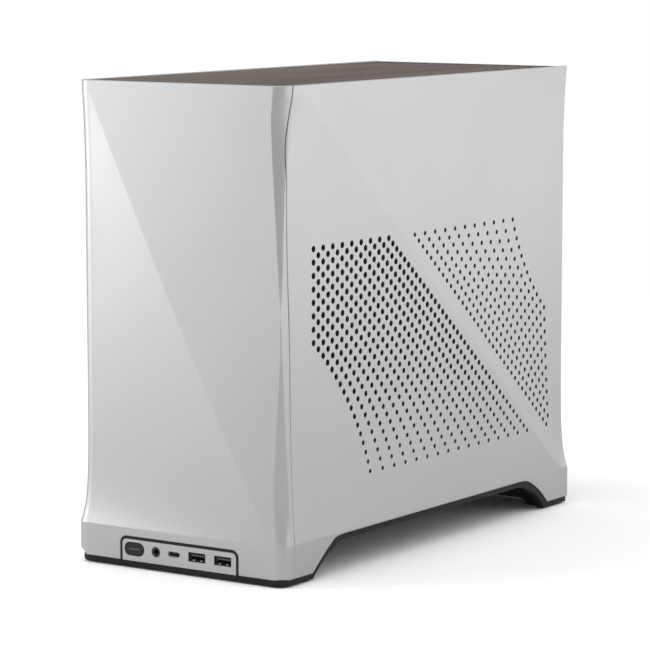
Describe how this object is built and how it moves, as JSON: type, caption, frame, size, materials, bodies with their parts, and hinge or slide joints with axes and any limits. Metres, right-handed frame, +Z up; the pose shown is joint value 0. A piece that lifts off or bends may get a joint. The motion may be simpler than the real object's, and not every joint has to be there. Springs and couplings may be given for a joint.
{
  "type": "small form factor desktop computer",
  "caption": "Compact upright desktop computer with perforated aluminium side panels that pull off, a lift-off wood top, a raised arched base and front sockets.",
  "frame": {"origin": "middle of the footprint, on the floor under the rubber feet", "axes": "+Z up, the front with its sockets faces -Y, the rear ports face +Y, +X is to the right when facing the front"},
  "size_m": [0.1644, 0.359, 0.314],
  "materials": {
    "anodised_aluminium": "fine bead-blasted, silver anodised",
    "walnut": "open-grain oiled walnut veneer",
    "black_plastic": "moulded, fine texture",
    "black_steel": "black powder coat",
    "rubber_black": "matte rubber",
    "bare_steel": "plated steel",
    "button_plastic": "satin moulded",
    "light_guide": "clear white light guide",
    "circuit_board": "solder mask over copper",
    "connector_plastic": "glass-filled nylon",
    "heatsink_aluminium": "bare extruded and folded fins",
    "dark_heatsink": "black anodised",
    "fan_plastic": "fan blades",
    "brass_metal": "plain",
    "gpu_shroud_plastic": "textured shroud",
    "psu_paint": "black powder coat",
    "chrome_wire": "dark nickel",
    "filter_mesh": "woven nylon filter mesh",
    "cable_black": "sheathed cable"
  },
  "bodies": {
    "chassis": {"front_shell": "anodised_aluminium", "base_frame": "black_plastic", "rubber_feet": "rubber_black", "chassis_frame": "black_steel", "front_shell_posts": "black_steel", "panel_clips": "black_plastic", "spine_plate": "black_steel", "rear_panel": "black_steel", "top_fan_bracket": "black_steel", "case_screws": "black_steel", "slot_cover": "black_steel", "io_trim": "black_plastic", "io_plate": "anodised_aluminium", "audio_jack": "connector_plastic", "usb_c_port": "bare_steel", "usb_a_ports": "bare_steel", "front_io_board": "circuit_board", "motherboard": "circuit_board", "board_standoffs": "brass_metal", "board_connectors": "connector_plastic", "board_heatsinks": "dark_heatsink", "cpu_socket": "bare_steel", "cpu_cooler": "heatsink_aluminium", "cpu_fan_frame": "fan_plastic", "memory_modules": "circuit_board", "m2_drive": "circuit_board", "rear_io_ports": "bare_steel", "io_shield": "bare_steel", "riser_cable": "cable_black", "riser_slot": "connector_plastic", "gpu_board": "circuit_board", "gpu_heatsink": "heatsink_aluminium", "gpu_shroud": "gpu_shroud_plastic", "gpu_backplate": "dark_heatsink", "gpu_bracket": "bare_steel", "psu_case": "psu_paint", "psu_fan_grille": "chrome_wire", "psu_inlet": "connector_plastic", "psu_switch_frame": "connector_plastic", "mains_inlet": "connector_plastic", "internal_power_lead": "cable_black", "bottom_fan_frames": "fan_plastic"},
    "top_panel": {"top_panel_board": "walnut", "top_panel_tray": "black_steel", "top_panel_pins": "bare_steel"},
    "right_panel": {"right_side_panel": "anodised_aluminium", "right_panel_studs": "bare_steel"},
    "left_panel": {"left_side_panel": "anodised_aluminium", "left_panel_studs": "bare_steel"},
    "power_key": {"power_button": "button_plastic", "power_light": "light_guide"},
    "cpu_fan": {"cpu_fan_rotor": "fan_plastic"},
    "card_fan_front": {"gpu_fan_front": "fan_plastic"},
    "card_fan_rear": {"gpu_fan_rear": "fan_plastic"},
    "supply_fan": {"psu_fan_rotor": "fan_plastic"},
    "supply_switch": {"psu_switch": "button_plastic"},
    "floor_fan_front": {"bottom_fan_front": "fan_plastic"},
    "floor_fan_rear": {"bottom_fan_rear": "fan_plastic"},
    "dust_filter": {"dust_filter_frame": "black_plastic", "dust_filter_mesh": "filter_mesh"}
  },
  "joints": [
    {"name": "top_panel_lift", "type": "slide", "parent": "chassis", "child": "top_panel", "axis": [0, 0, 1], "range_m": [0, 0.08]},
    {"name": "right_panel_pull", "type": "slide", "parent": "chassis", "child": "right_panel", "axis": [1, 0, 0], "range_m": [0, 0.08]},
    {"name": "left_panel_pull", "type": "slide", "parent": "chassis", "child": "left_panel", "axis": [-1, 0, 0], "range_m": [0, 0.08]},
    {"name": "power_key_press", "type": "slide", "parent": "chassis", "child": "power_key", "axis": [0, 1, 0], "range_m": [0, 0.0008], "stiffness_N_per_m": 800, "springref_m": -0.0005},
    {"name": "dust_filter_slide", "type": "slide", "parent": "chassis", "child": "dust_filter", "axis": [0, 1, 0], "range_m": [0, 0.33]},
    {"name": "cpu_fan_spin", "type": "hinge", "parent": "chassis", "child": "cpu_fan", "pos_m": [-0.044, 0.092, 0.212], "axis": [1, 0, 0], "continuous": true},
    {"name": "card_fan_front_spin", "type": "hinge", "parent": "chassis", "child": "card_fan_front", "pos_m": [0.048, -0.058, 0.127], "axis": [1, 0, 0], "continuous": true},
    {"name": "card_fan_rear_spin", "type": "hinge", "parent": "chassis", "child": "card_fan_rear", "pos_m": [0.048, 0.042, 0.127], "axis": [1, 0, 0], "continuous": true},
    {"name": "supply_fan_spin", "type": "hinge", "parent": "chassis", "child": "supply_fan", "pos_m": [-0.062, -0.0895, 0.21], "axis": [1, 0, 0], "continuous": true},
    {"name": "floor_fan_front_spin", "type": "hinge", "parent": "chassis", "child": "floor_fan_front", "pos_m": [0, -0.068, 0.04], "axis": [0, 0, 1], "continuous": true},
    {"name": "floor_fan_rear_spin", "type": "hinge", "parent": "chassis", "child": "floor_fan_rear", "pos_m": [0, 0.06, 0.04], "axis": [0, 0, 1], "continuous": true},
    {"name": "supply_switch_rock", "type": "hinge", "parent": "chassis", "child": "supply_switch", "pos_m": [-0.04075, -0.0855, 0.161], "axis": [1, 0, 0], "range_deg": [-16, 0]}
  ]
}
